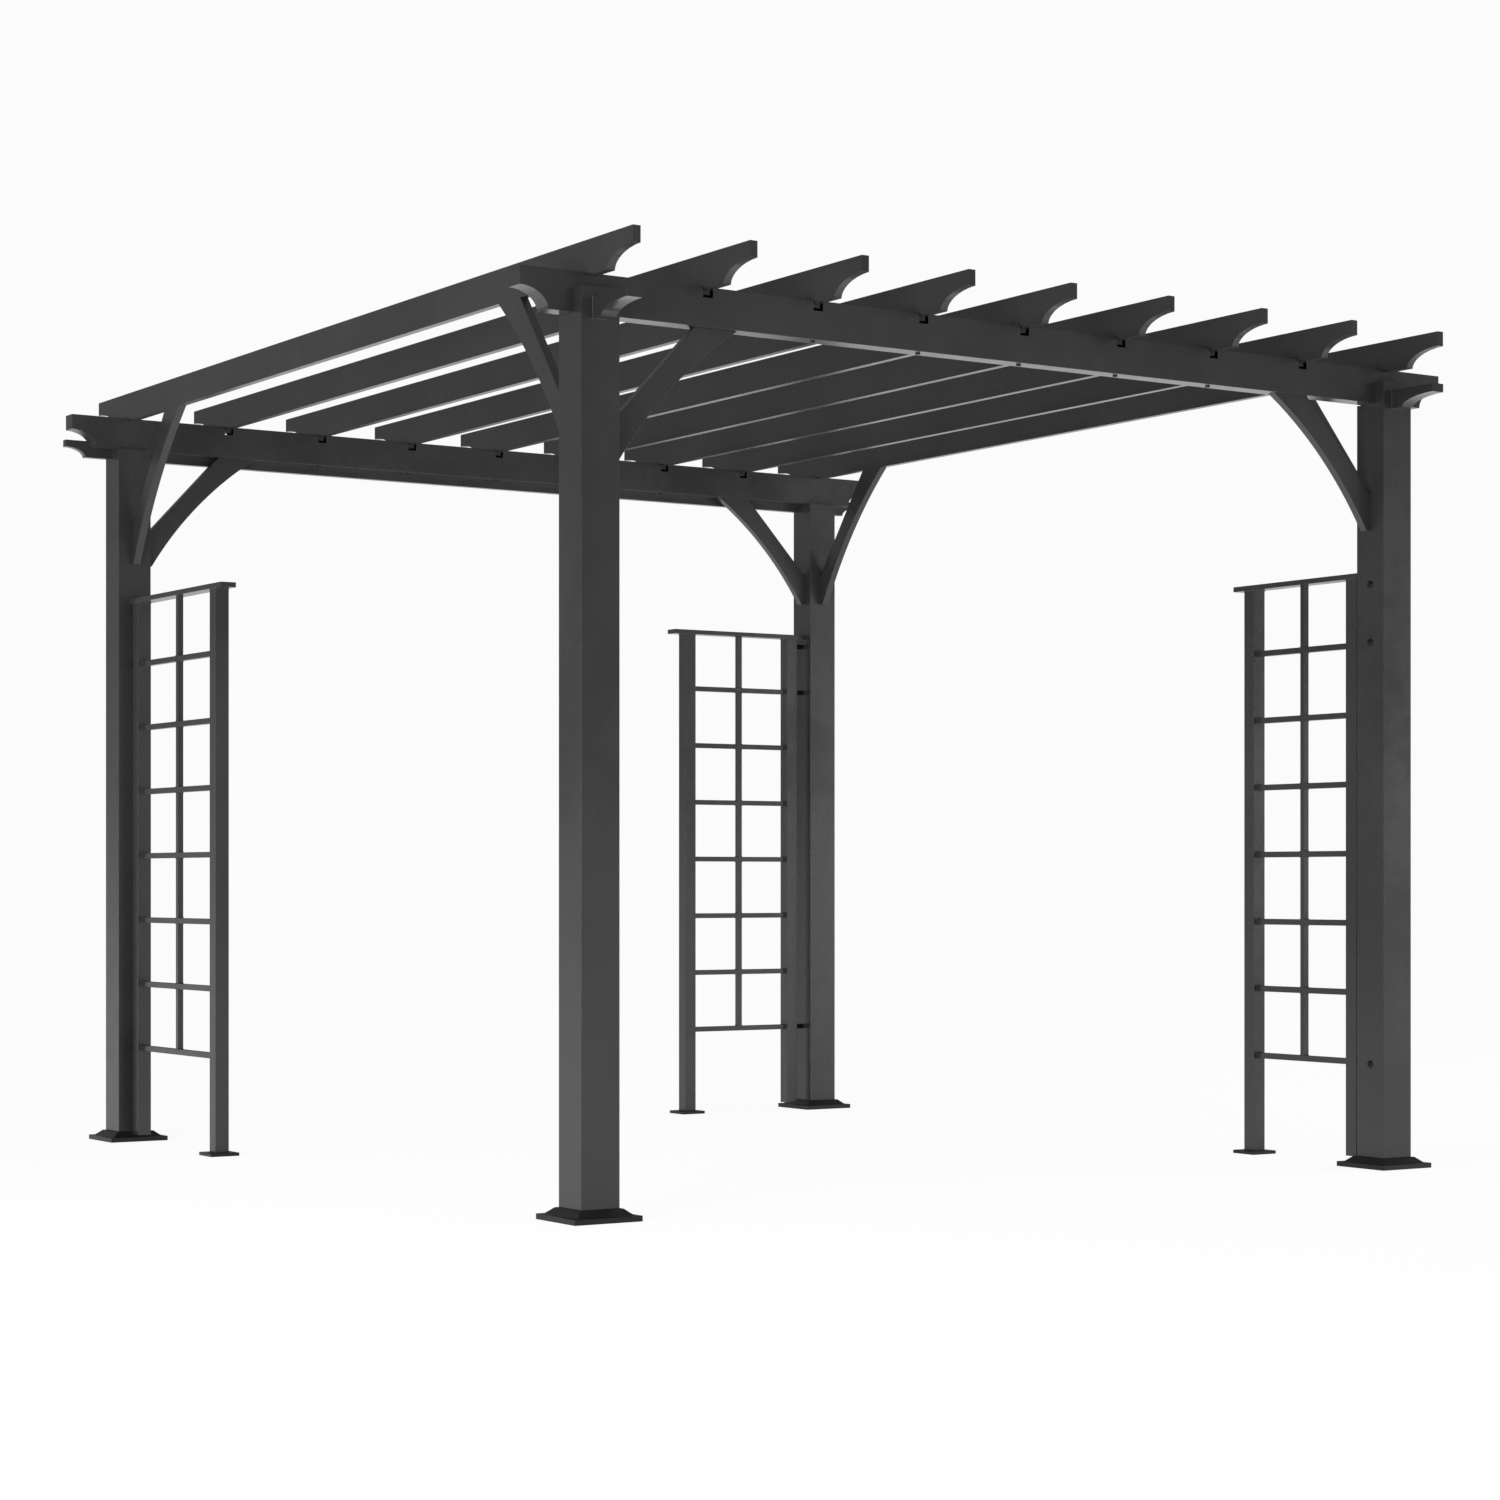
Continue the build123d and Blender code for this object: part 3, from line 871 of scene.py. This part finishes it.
class PERGOLA_OT_side_screws(bpy.types.Operator):
    """Set button-head screws in the posts, level with the trellis studs"""

    bl_idname = "pergola.side_screws"
    bl_label = "Side screws"

    def execute(self, context):
        sizes = context.scene.pergola_fittings
        heights = (sizes.screw_low, sizes.screw_middle, sizes.screw_high)
        spots = [
            spot for panel in PANELS for spot in side_screw_spots(panel, heights, SCREW_SINK)
        ]
        inputs = {
            "Head width": sizes.head_width,
            "Head height": sizes.head_height,
            "Socket width": sizes.head_width * 0.36,
            "Finish": bpy.data.materials["fastener_zinc"],
        }
        grow("side_screws", point_mesh("side_screws", spots), screw_tree(), inputs)
        return {"FINISHED"}


class PERGOLA_OT_stage(bpy.types.Operator):
    """Make the pale floor, the soft light and the camera"""

    bl_idname = "pergola.stage"
    bl_label = "Stage"

    def execute(self, context):
        stage = context.scene.pergola_stage
        reach = FLOOR_REACH
        mesh = bpy.data.meshes.new("studio_floor")
        corners = [(-reach, -reach, 0), (reach, -reach, 0), (reach, reach, 0), (-reach, reach, 0)]
        mesh.from_pydata(corners, [], [(0, 1, 2, 3)])
        mesh.materials.append(pale_floor("studio_floor", stage.floor, stage.glow))
        floor = bpy.data.objects.new("studio_floor", mesh)
        context.scene.collection.objects.link(floor)
        floor.location.z = -FLOOR_DROP
        world = bpy.data.worlds.new("studio_light")
        world.use_nodes = True
        world.node_tree.nodes.clear()
        bench = Bench(world.node_tree)
        even = bench.node("ShaderNodeBackground", values={"Color": WHITE, "Strength": stage.sky})
        backdrop = bench.node(
            "ShaderNodeBackground", values={"Color": WHITE, "Strength": stage.backdrop}
        )
        seen = bench.node("ShaderNodeLightPath")
        whole = bench.node("ShaderNodeMixShader", values={0: seen, 1: even, 2: backdrop})
        bench.node("ShaderNodeOutputWorld", values={"Surface": whole})
        context.scene.world = world
        softbox(context, "side_softbox", SIDE_LAMP_PLACE, SIDE_LAMP_TURN, stage.key)
        softbox(context, "front_softbox", FRONT_LAMP_PLACE, FRONT_LAMP_TURN, stage.fill)
        lens = bpy.data.cameras.new("camera")
        lens.sensor_width = 36.0
        lens.lens = stage.lens
        lens.shift_x, lens.shift_y = CAMERA_SHIFT
        lens.clip_end = CAMERA_REACH
        camera = bpy.data.objects.new("camera", lens)
        camera.location = CAMERA_PLACE
        camera.rotation_euler = (math.pi / 2, 0.0, -stage.turn)
        context.scene.collection.objects.link(camera)
        context.scene.camera = camera
        context.scene.view_settings.view_transform = "Standard"
        return {"FINISHED"}


class PERGOLA_PT_tools(bpy.types.Panel):
    """Lists the pergola's pieces and settings"""

    bl_idname = "PERGOLA_PT_tools"
    bl_label = "Steel pergola"
    bl_space_type = "VIEW_3D"
    bl_region_type = "UI"
    bl_category = "Pergola"

    def draw(self, context):
        for step in STEPS:
            self.layout.operator(step.bl_idname)
        for group in ("pergola_coat", "pergola_fittings", "pergola_stage"):
            settings = getattr(context.scene, group)
            box = self.layout.box()
            for key in settings.__annotations__:
                box.prop(settings, key)


STEPS = (
    PERGOLA_OT_stage,
    PERGOLA_OT_coat_frame,
    PERGOLA_OT_coat_trellis,
    PERGOLA_OT_coat_feet,
    PERGOLA_OT_finish_fasteners,
    PERGOLA_OT_trellis_welds,
    PERGOLA_OT_stub_welds,
    PERGOLA_OT_side_screws,
)
GROUPS = (PergolaCoatSettings, PergolaFittingSettings, PergolaStageSettings)


def register():
    for kind in (*GROUPS, *STEPS, PERGOLA_PT_tools):
        bpy.utils.register_class(kind)
    bpy.types.Scene.pergola_coat = bpy.props.PointerProperty(type=PergolaCoatSettings)
    bpy.types.Scene.pergola_fittings = bpy.props.PointerProperty(type=PergolaFittingSettings)
    bpy.types.Scene.pergola_stage = bpy.props.PointerProperty(type=PergolaStageSettings)


def unregister():
    del bpy.types.Scene.pergola_stage
    del bpy.types.Scene.pergola_fittings
    del bpy.types.Scene.pergola_coat
    for kind in (PERGOLA_PT_tools, *reversed(STEPS), *reversed(GROUPS)):
        bpy.utils.unregister_class(kind)


def main():
    register()
    bpy.ops.pergola.stage()
    bpy.ops.pergola.coat_frame()
    bpy.ops.pergola.coat_trellis()
    bpy.ops.pergola.coat_feet()
    bpy.ops.pergola.finish_fasteners()
    bpy.ops.pergola.trellis_welds()
    bpy.ops.pergola.stub_welds()
    bpy.ops.pergola.side_screws()


if __name__ == "__main__":
    main()
